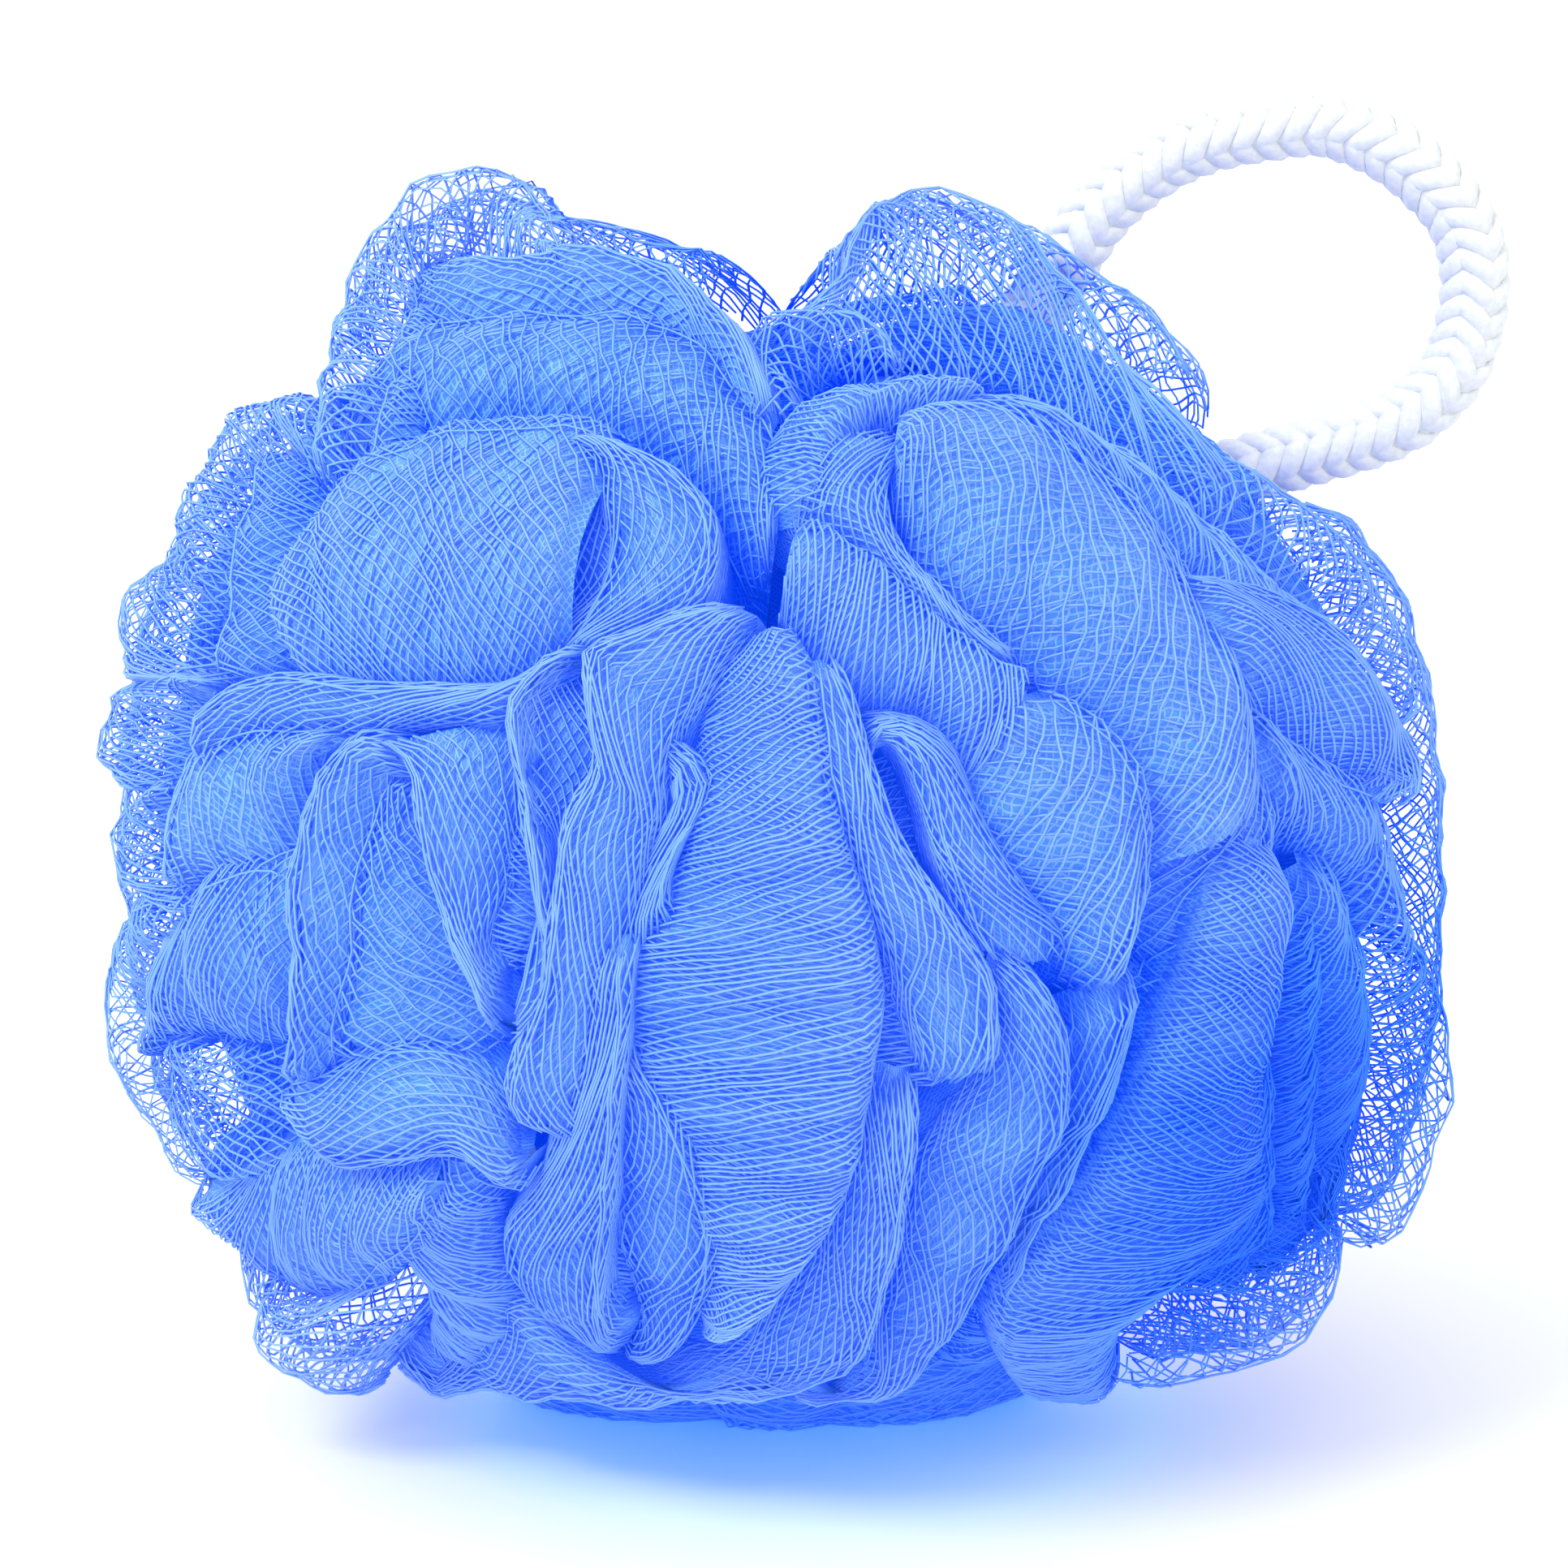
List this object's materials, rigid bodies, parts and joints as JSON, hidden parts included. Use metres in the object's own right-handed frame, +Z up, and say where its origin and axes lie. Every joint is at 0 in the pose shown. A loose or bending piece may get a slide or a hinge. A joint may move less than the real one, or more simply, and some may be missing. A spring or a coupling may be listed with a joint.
{
  "type": "mesh bath pouf",
  "caption": "Round bath pouf of folded blue tubular netting, gathered at its waist by a knotted white braided cord with a hanging loop.",
  "frame": {"origin": "middle of the ball of netting's box, on the surface that it rests on", "axes": "+X to the right along the ball's widest size, towards the hanging loop, +Y from the front to the back, +Z up"},
  "size_m": [0.1306, 0.1156, 0.1235],
  "materials": {
    "net": "fine extruded netting, soft satin sheen, bright blue",
    "knot": "white braided cord, pulled tight",
    "cord": "white round braid of bundled yarns"
  },
  "bodies": {
    "root": {"mesh_net": "net", "waist_knot": "knot", "hanging_cord": "cord"}
  },
  "joints": []
}
